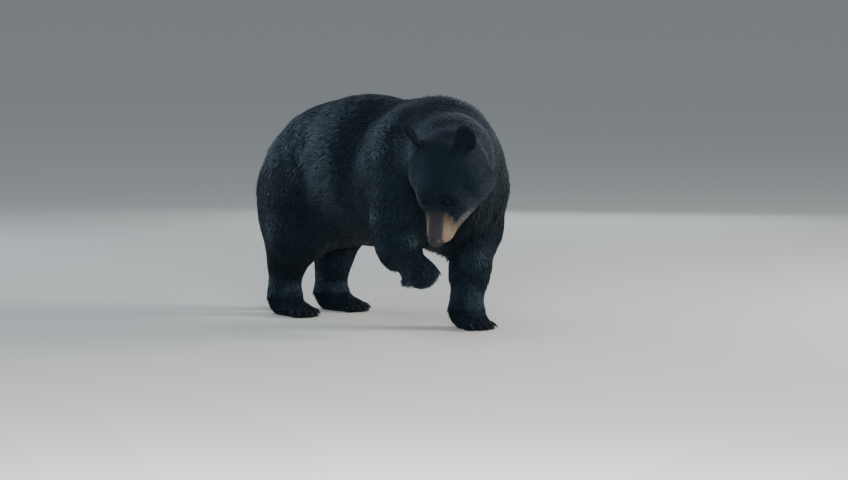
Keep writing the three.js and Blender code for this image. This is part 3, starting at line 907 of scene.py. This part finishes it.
EYE_ROWS, EYE_COLUMNS = 46, 72
eye_polar, eye_around = ball_angles(EYE_ROWS, EYE_COLUMNS)
eye_faces = capped_faces(EYE_ROWS, EYE_COLUMNS)
swell = CORNEA_SWELL * (1 - smoothstep(eye_polar, math.radians(18), math.radians(40)))
for side, name in ((1, "eye_left"), (-1, "eye_right")):
    middle, gaze, inner, up = eye_axes(side)
    across = np.cos(eye_around)[:, None] * inner + np.sin(eye_around)[:, None] * up
    ray = np.cos(eye_polar)[:, None] * gaze + np.sin(eye_polar)[:, None] * across
    ball_places = from_head(middle + ray * (EYE_RADIUS + swell)[:, None])
    eyeball = bare_piece(name.replace("eye", "eyeball"), ball_places, eye_faces, eye_finish)
    paint(eyeball.data, eye_colours(eye_polar, eye_around))
    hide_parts(name)

# %% [markdown]
# ## Lids
# The hairless black margin of the lids is a ring that runs round the slit on the eyeball. Its
# middle line follows the almond of the slit, and its section is an oval that lies on the ball.

# %% Margins of the lids
leather, leather_tree, leather_shader = finish("black_leather_skin", (0.0165, 0.0160, 0.0158), 0.50)
leather_shader.inputs["Specular IOR Level"].default_value = 0.20
grain(leather_tree, leather_shader, 900, 0.5, 0.0006)
lid_finish, lid_tree, lid_shader = finish("lid_skin", (0.0032, 0.0030, 0.0034), 0.5)
lid_shader.inputs["Specular IOR Level"].default_value = 0.12
grain(lid_tree, lid_shader, 1400, 0.4, 0.0004)
RIM_COLUMNS, RIM_ROWS = 96, 12
RIM_HIGH, RIM_WIDE = 0.8, 1.35


def lid_margin(side):
    """Places of the ring: middle + ray * (radius + 0.4) + oval(ray, across), for each angle round
    the gaze, where ray leaves the eyeball's middle a little outside the slit."""
    middle, gaze, inner, up = eye_axes(side)
    angle = np.arange(RIM_COLUMNS) * 2 * math.pi / RIM_COLUMNS
    reach = (slit_reach(angle) + math.radians(6))[:, None]
    sideways = np.cos(angle)[:, None] * inner + np.sin(angle)[:, None] * up
    ray = gaze * np.cos(reach) + sideways * np.sin(reach)
    across = sideways * np.cos(reach) - gaze * np.sin(reach)
    turn = np.arange(RIM_ROWS)[:, None, None] * 2 * math.pi / RIM_ROWS
    oval = ray * np.cos(turn) * RIM_HIGH + across * np.sin(turn) * RIM_WIDE
    return from_head((middle + ray * (EYE_RADIUS + 0.4) + oval).reshape(-1, 3))


for side, name in ((1, "lid_margin_left"), (-1, "lid_margin_right")):
    bare_piece(name, lid_margin(side), ring_faces(RIM_ROWS, RIM_COLUMNS), lid_finish)

# %% [markdown]
# ## Nose pad
# The bare nose is broader above than below, with a flat front. Its nostrils open forward and
# curl out and up into a slit at each side, and a groove parts its lower half. It is a ball of
# angles from its front, squared off, scaled to the solid's half sizes, and then pressed in.

# %% Nose pad
NOSE_DROOP = math.radians(-12)
NOSE_ROWS, NOSE_COLUMNS = 72, 110


def nose_surface(polar, around):
    """Places in the pad's own frame: x out of the front, y left, z up, in millimetres."""
    square = (np.abs(np.cos(around)) ** 2.5 + np.abs(np.sin(around)) ** 2.5) ** (-1 / 2.5)
    y, z = np.sin(polar) * square * np.cos(around), np.sin(polar) * square * np.sin(around)
    x = np.sign(np.cos(polar)) * np.abs(np.cos(polar)) ** 0.8
    narrow = 1 - 0.20 * smoothstep(-z, 0.0, 0.9)
    front = smoothstep(x, 0.05, 0.5)
    bent = np.stack([x * (1 - 0.16 * y**2), y * narrow, z], 1) * NOSE_HALF
    flat_y, flat_z = bent[:, 1] / NOSE_HALF[1], bent[:, 2] / NOSE_HALF[2]
    for side in SIDES:
        s = flat_y * side
        hole = np.exp(-((s - 0.48) ** 2 / 0.030 + (flat_z + 0.02) ** 2 / 0.034))
        slit_line = 0.05 + 0.42 * (s - 0.62)
        slit = np.exp(-((flat_z - slit_line) ** 2) / 0.010) * smoothstep(s, 0.50, 0.70)
        bent[:, 0] -= 10.5 * hole * front
        bent[:, 0] -= 4.0 * slit * front
        bent[:, 1] -= side * 2.2 * slit * smoothstep(x, -0.4, 0.2) * smoothstep(s, 0.6, 0.9)
        wing = np.exp(-((s - 0.50) ** 2 / 0.06 + (flat_z - 0.42) ** 2 / 0.03))
        bent[:, 0] += 1.5 * wing * front
    groove = np.exp(-(flat_y**2) / 0.0035) * smoothstep(-flat_z, -0.35, 0.25)
    bent[:, 0] -= 2.2 * groove * front
    return bent


nose_polar, nose_around = ball_angles(NOSE_ROWS, NOSE_COLUMNS)
nose_local = nose_surface(nose_polar, nose_around)
droop_cos, droop_sin = math.cos(NOSE_DROOP), math.sin(NOSE_DROOP)
nose_local = nose_local @ np.array([[droop_cos, 0, droop_sin], [0, 1, 0], [-droop_sin, 0, droop_cos]])
nose_faces = capped_faces(NOSE_ROWS, NOSE_COLUMNS)
nose_pad = bare_piece("nose_pad", from_head(NOSE_IN_HEAD + nose_local), nose_faces, leather)
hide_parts("nose")

# %% [markdown]
# ## Claws
# Each toe ends in a curved claw of dark horn, flat at its sides. Its centre line turns down
# evenly from its root to its tip, so it is an arc, and round it stand rings of an upright oval
# that shrinks to the tip.

# %% Claws
CLAW_LIFT, CLAW_BEND = math.radians(12), math.radians(72)
CLAW_ROWS, CLAW_COLUMNS = 12, 10
CLAW_HALF_WIDTH, CLAW_HALF_HEIGHT = 3.3, 5.6
horn, horn_tree, horn_shader = finish("claw_horn", (0.014, 0.011, 0.009), 0.30)
grain(horn_tree, horn_shader, 500, 0.3, 0.0005)


def claw(length):
    """One claw with its root at the origin, x forward, z up: an arc x = L (sin a - sin a0) / bend,
    z = L (cos a - cos a0) / bend, where a runs from -lift to bend - lift."""
    t = np.linspace(0, 1, CLAW_ROWS) ** 0.85
    a = CLAW_BEND * t - CLAW_LIFT
    x = length * (np.sin(a) + math.sin(CLAW_LIFT)) / CLAW_BEND
    z = length * (np.cos(a) - math.cos(CLAW_LIFT)) / CLAW_BEND
    centre = np.stack([x, np.zeros_like(x), z], 1)
    turn = np.arange(CLAW_COLUMNS) * 2 * math.pi / CLAW_COLUMNS
    taper = 0.06 + 0.94 * (1 - t) ** 0.7
    wide = CLAW_HALF_WIDTH * taper[:, None] * np.cos(turn)
    high = CLAW_HALF_HEIGHT * taper[:, None] * np.sin(turn)
    upward = np.stack([np.sin(a), np.zeros_like(a), np.cos(a)], 1)
    rings = centre[:, None] + wide[..., None] * np.array([0, 1, 0]) + high[..., None] * upward[:, None]
    return np.concatenate([centre[:1], rings.reshape(-1, 3), centre[-1:]])


claw_faces = capped_faces(CLAW_ROWS, CLAW_COLUMNS)
for name, (_, _, kind) in PAWS.items():
    one = claw(TOES[kind][2])
    middles = toe_middles(kind)
    aside = np.radians(0.35 * middles[:, 1])
    x = one[None, :, 0] * np.cos(aside)[:, None] - one[None, :, 1] * np.sin(aside)[:, None]
    y = one[None, :, 0] * np.sin(aside)[:, None] + one[None, :, 1] * np.cos(aside)[:, None]
    claws = np.stack([x, y, np.broadcast_to(one[None, :, 2], x.shape)], 2)
    claws += middles[:, None] + np.array([15.0, 0, 2.5])
    faces = (np.arange(5)[:, None, None] * len(one) + claw_faces[None]).reshape(-1, 3)
    bare_piece("claws_" + name, from_paw(claws.reshape(-1, 3), name), faces, horn)

# %% [markdown]
# ## How the coat lies
# Hair grows back from the nose over the head, along the neck and the trunk to the rump, a little
# downwards on the flanks, down every leg and on to the toes. Each vertex of the skin first gets
# the direction of its own part, and then neighbours are averaged many times, so that the lie
# turns gently from one part to the next. A slow ripple keeps it from looking combed by a machine.

# %% Directions of the parts
FORELEG_ELBOW = laid_out(0.256, -0.190, 0.276)
LIFTED_WRIST = laid_out(0.396, -0.206, 0.207)


def lie_of_parts(points, owner):
    """Direction of the hair at each point before it is averaged, from the rule of its part."""
    node_name = np.array(ALL_NODES)[owner]
    part = np.array(PART_OF_OWNER)[owner]
    lie = np.tile([-1.0, 0.0, -0.42], (len(points), 1))
    lie[:, 2] -= 0.5 * smoothstep(-points[:, 0], 0.28, 0.5)
    lie[part == "neck"] = unit(np.array([-0.80, 0.50, -0.28]))
    q = in_head(points)
    outward = np.stack([np.full(len(q), -1.0), 0.004 * q[:, 1], 0.003 * q[:, 2]], 1)
    for side in SIDES:
        from_eye = q - eye_axes(side)[0]
        near_eye = np.exp(-((np.linalg.norm(from_eye, axis=1) / 19) ** 4))
        outward += 2.4 * near_eye[:, None] * unit(from_eye)
    face = np.isin(part, ["head", "lower_jaw"])
    lie[face] = (outward @ HEAD_AXES)[face]
    for name, (_, axes) in EARS.items():
        mine = node_name == name
        e = in_ear(points[mine], name)
        to_tip = np.stack([np.zeros(len(e)), 0.012 * e[:, 1], np.ones(len(e))], 1)
        lie[mine] = unit(to_tip) @ axes @ HEAD_AXES
    lie[np.isin(part, ["foreleg", "hind_leg"])] = [-0.12, 0.0, -1.0]
    lifted = node_name == "foreleg_right"
    forearm = LIFTED_WRIST - FORELEG_ELBOW
    along = (points - FORELEG_ELBOW) @ forearm / (forearm @ forearm)
    turn = smoothstep(along, -0.3, 0.25)[:, None]
    lie[lifted] = (np.array([-0.1, 0, -1.0]) * (1 - turn) + unit(forearm) * turn)[lifted]
    for name, (_, axes, _) in PAWS.items():
        lie[node_name == name] = unit(np.array([0.85, 0.0, -0.5])) @ axes
    lie[part == "tail"] = [-0.45, 0.0, -0.9]
    return unit(lie)


def onto_surface(vectors, normals):
    """The vectors with their part along the normal taken away, scaled to length one."""
    return unit(vectors - (vectors * normals).sum(1, keepdims=True) * normals)


owner = owner_of(places)
normals = vertex_normals(places, triangles)
lie = spread(lie_of_parts(places, owner), edges, 110)
lie = onto_surface(lie, unit(spread(normals, edges, 8)))
of_parts = np.stack([part_values(owner, c) for c in (0, 1, 2, 4)], 1)
is_ear = np.isin(owner, [ALL_NODES.index(n) for n in EARS])[:, None]
coat_values = np.where(is_ear, spread(of_parts, edges, 12), spread(of_parts, edges, 150))
print("directions at", len(lie), "vertices")

# %% [markdown]
# ## A lock of hair
# Single hairs would be far too many, so the coat is made of locks: thin spindles with three
# sides, which rise from the skin and then lie along the body. A long lock of the trunk has two
# rings of corners between its root and its tip, and a short one of the face or feet has one.


# %% Locks from arrays
RIDGE = 0.34


def locks(root, normal, way, length, half_width, rise, rings, roll):
    """Vertices and triangles of many locks. The centre line runs from the root along the way of the
    hair and climbs by rise * sin(112 degrees * t**0.8), so it is highest at three quarters of its
    length and its tip lies down again. The root stands a little under the skin. At each ring (share
    of the length, share of the width) stand two side corners and a ridge corner, turned by roll."""
    side = np.cross(normal, way)
    up = normal * np.cos(roll)[:, None] + side * np.sin(roll)[:, None]
    side = np.cross(up, way)

    def centre(t):
        climb = rise * (math.sin(math.radians(112) * t**0.8) - 0.1) - 0.0003
        return root + way * (length * t)[:, None] + normal * climb[:, None]

    corners = [centre(0.0)]
    for t, width in rings:
        w = (half_width * width)[:, None]
        corners += [centre(t) + side * w, centre(t) + up * w * RIDGE, centre(t) - side * w]
    corners.append(centre(1.0))
    count = len(corners)
    faces = []
    for k in range(3):
        a, b = 1 + k, 1 + (k + 1) % 3
        faces.append((0, b, a))
        for ring in range(len(rings) - 1):
            a1, b1, a2, b2 = a + 3 * ring, b + 3 * ring, a + 3 * ring + 3, b + 3 * ring + 3
            faces += [(a1, b1, b2), (a1, b2, a2)]
        last = 3 * (len(rings) - 1)
        faces.append((a + last, b + last, count - 1))
    places = np.stack(corners, 1)
    triangles = np.arange(len(root))[:, None, None] * count + np.array(faces)[None]
    return places.reshape(-1, 3), triangles.reshape(-1, 3), count


LONG_RINGS = ((0.22, 0.8), (0.62, 1.0))
SHORT_RINGS = ((0.4, 1.0),)
rng = np.random.default_rng(11)

# %% [markdown]
# ## Where the locks grow
# Roots are drawn at random over the skin, evenly by area, as many on each square metre as the
# table of parts says, and more round the eyes, where the locks are smaller. The pads, the nose,
# the eyes and the lip line stay bare.


# %% Roots of the locks
def bare_share(points, normals, owner):
    """0 where hair grows and 1 on pads, lids, nose and lips."""
    q = in_head(points)
    _, bare = paw_shares(points, normals, owner)
    for side in SIDES:
        middle, gaze, _, _ = eye_axes(side)
        from_eye = np.linalg.norm(q - middle - gaze * 8, axis=1)
        bare = np.maximum(bare, 1 - smoothstep(from_eye, 7.4, 8.8))
    oval = np.linalg.norm((q - NOSE_IN_HEAD) / (NOSE_HALF + 1), axis=1)
    bare = np.maximum(bare, 1 - smoothstep(oval, 0.98, 1.12))
    lip = along_lip(q) * (np.abs(above_lip(q)) < 3.2) * (np.abs(q[:, 1]) < 80)
    return np.maximum(bare, lip)


corner_a, corner_b, corner_c = (places[triangles[:, k]] for k in range(3))
triangle_area = np.linalg.norm(np.cross(corner_b - corner_a, corner_c - corner_a), axis=1) / 2
hairy = 1 - bare_share(places, normals, owner)
near_eyes = np.zeros(len(places))
for side in SIDES:
    from_eye = np.linalg.norm(in_head(places) - eye_axes(side)[0], axis=1)
    near_eyes = np.maximum(near_eyes, (1 - smoothstep(from_eye, 16, 40)) * on_face(owner))
locks_per_area = (coat_values[:, 3] * hairy * (1 + 0.9 * near_eyes))[triangles].mean(1) * 1000
expected = np.concatenate([[0], np.cumsum(triangle_area * locks_per_area)])
lock_count = int(expected[-1])
spots = (np.arange(lock_count) + rng.random(lock_count)) * expected[-1] / lock_count
chosen = np.searchsorted(expected, spots) - 1
weights = rng.dirichlet((1, 1, 1), lock_count)


def at_root(values):
    """Values of the skin's vertices, blended at each lock's root."""
    return (values[triangles[chosen]] * weights.reshape(lock_count, 3, *([1] * (values.ndim - 1)))).sum(1)


root, root_normal, root_way = at_root(places), unit(at_root(normals)), at_root(lie)
root_owner = owner[triangles[chosen, 0]]
root_depth, root_length, root_width, _ = at_root(coat_values).T
root_trimmed = trimmed(root, root_owner)
root_depth = root_depth * (1 - TRIM_DEPTH * root_trimmed)
root_length = root_length * (1 - TRIM_LENGTH * root_trimmed)
root_width = root_width * (1 - TRIM_WIDTH * root_trimmed)
for side in SIDES:
    from_eye = np.linalg.norm(in_head(root) - eye_axes(side)[0], axis=1)
    root_length = root_length * (0.56 + 0.44 * smoothstep(from_eye, 14, 34))
    root_width = root_width * (0.72 + 0.28 * smoothstep(from_eye, 14, 34))
for name in EARS:
    e = in_ear(root, name)
    on_ear = root_owner == ALL_NODES.index(name)
    fringe = on_ear * smoothstep(ear_oval(e), 0.7, 0.95)
    root_length = root_length * (1 + 0.35 * fringe)
print("locks:", lock_count, "on", round(float(triangle_area.sum()), 2), "square metres")

# %% [markdown]
# ## The coat in pieces
# Real fur isn't even: neighbouring locks lean together in broad soft waves. Sums of a few sine
# waves turn the lie by some degrees and change the rise and length, and each lock adds a little
# chance of its own. The coat is parted by body part, so that no piece grows too large.


# %% Ripple and chance
def ripple(points, wavelength, phase):
    """A smooth value near -1 to 1 over space: the mean of four sine waves in fixed directions."""
    ways = np.array([[1, 0.3, 0.7], [-0.5, 1, 0.4], [0.2, -0.8, 1], [0.9, 0.9, -0.5]])
    shifts = phase * np.array([1, 2.1, 3.7, 5.3])
    waves = np.sin(points @ unit(ways).T * (2 * math.pi / wavelength) + shifts)
    return waves.sum(1) / 2.2


broad, fine = ripple(root, 0.13, 1.0), ripple(root, 0.05, 2.0)
swing = np.radians(4 * broad + 3 * fine + rng.normal(0, 3.5, lock_count))
root_way = onto_surface(root_way, root_normal)
root_way = root_way * np.cos(swing)[:, None] + np.cross(root_normal, root_way) * np.sin(swing)[:, None]
rise = root_depth / 1000 * (0.80 + 0.08 * ripple(root, 0.06, 3.0) + rng.normal(0, 0.06, lock_count))
stretch = 1 + 0.10 * ripple(root, 0.08, 4.0) + rng.normal(0, 0.12, lock_count)
length = root_length / 1000 * np.clip(stretch, 0.6, 1.5)
half_width = root_width / 1000 * rng.uniform(0.7, 1.25, lock_count)
roll = rng.normal(0, 0.22, lock_count)
print("locks are", (length.mean() * 1000).round(1), "mm long and rise", (rise.mean() * 1000).round(1), "mm")

# %% [markdown]
# ## A map for each coat piece
# The finish can later be stored as a picture, and for that each lock needs its own small place
# on a flat map. The skin under a piece is unfolded, and a lock's patch is a tiny one at its
# root's place on that unfolded skin, so that neighbours on the skin are neighbours on the map.


# %% Unfold the skin under a piece
def unfolded(triangle_numbers):
    """Map places of the corners of some triangles of the skin, from an unwrap of that skin."""
    used, renumbered = np.unique(triangles[triangle_numbers], return_inverse=True)
    patch = new_object("patch", mesh_of("patch", places[used], renumbered.reshape(-1, 3)))
    for other in bpy.context.selected_objects:
        other.select_set(False)
    bpy.context.view_layer.objects.active = patch
    patch.select_set(True)
    bpy.ops.object.mode_set(mode="EDIT")
    bpy.ops.mesh.select_all(action="SELECT")
    bpy.ops.uv.smart_project(angle_limit=math.radians(66), island_margin=0.002)
    bpy.ops.object.mode_set(mode="OBJECT")
    flat = np.empty(len(triangle_numbers) * 6, np.float32)
    patch.data.uv_layers.active.data.foreach_get("uv", flat)
    bpy.data.meshes.remove(patch.data)
    return flat.reshape(-1, 3, 2)


PATCH = 0.003


def coat_piece(name, mine, rings):
    """Makes the locks whose numbers are given into one mesh piece, painted and mapped."""
    inside = [a[mine] for a in (root, root_normal, root_way, length, half_width, rise)]
    lock_places, lock_triangles, count = locks(*inside, rings, roll[mine])
    lock_places[:, 2] = np.maximum(lock_places[:, 2], FLOOR_CLEAR)
    mesh = mesh_of(name, lock_places, lock_triangles)
    tip_share = np.array([0.0] + [t for t, _ in rings for _ in range(3)] + [1.0])
    colour = np.repeat(markings(root[mine]), count, 0) * np.tile(0.8 + 0.45 * tip_share, len(mine))[:, None]
    paint(mesh, colour)
    under, where = np.unique(chosen[mine], return_inverse=True)
    at = (unfolded(under)[where] * weights[mine][:, :, None]).sum(1)
    across = np.array([0.0] + [k for _ in rings for k in (-1, 0, 1)] + [0.0])
    patch = np.stack([across, tip_share * 2 - 1], 1) * PATCH / 2
    corners = (at[:, None, :] + patch[None]).reshape(-1, 2)
    layer = mesh.uv_layers.new(name="OFBake")
    layer.data.foreach_set("uv", np.clip(corners[lock_triangles.ravel()], 0, 1).astype(np.float32).ravel())
    mesh.materials.append(coat_finish)
    piece = new_object(name, mesh)
    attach(piece, "root")
    print(name, len(mine), "locks,", len(lock_triangles), "triangles")
    return piece


# %% Pieces of the coat
part_at_root = np.array(PART_OF_OWNER)[root_owner]
node_at_root = np.array(ALL_NODES)[root_owner]
of_part = {p: part_at_root == p for p in PARTS}
left, fore_half = root[:, 1] > 0, root[:, 0] > -0.05
rear = root[:, 0] < -0.33
groups = {
    "coat_shoulder_left": (of_part["trunk"] & left & fore_half, LONG_RINGS),
    "coat_shoulder_right": (of_part["trunk"] & ~left & fore_half, LONG_RINGS),
    "coat_flank_left": (of_part["trunk"] & left & ~fore_half & ~rear, LONG_RINGS),
    "coat_flank_right": (of_part["trunk"] & ~left & ~fore_half & ~rear, LONG_RINGS),
    "coat_rump": ((of_part["trunk"] & rear) | of_part["tail"], LONG_RINGS),
    "coat_neck": (of_part["neck"], LONG_RINGS),
    "coat_head": (of_part["head"] | of_part["lower_jaw"] | of_part["ear"], SHORT_RINGS),
    "coat_foreleg_left": (of_part["foreleg"] & left, LONG_RINGS),
    "coat_foreleg_right": (of_part["foreleg"] & ~left, LONG_RINGS),
    "coat_hind_leg_left": (of_part["hind_leg"] & left, LONG_RINGS),
    "coat_hind_leg_right": (of_part["hind_leg"] & ~left, LONG_RINGS),
    "coat_paws": (of_part["forepaw"] | of_part["hind_paw"], SHORT_RINGS),
}
coat = [coat_piece(name, np.flatnonzero(mask), rings) for name, (mask, rings) in groups.items()]
print("coat:", sum(len(p.data.polygons) for p in coat), "triangles in", len(coat), "pieces")
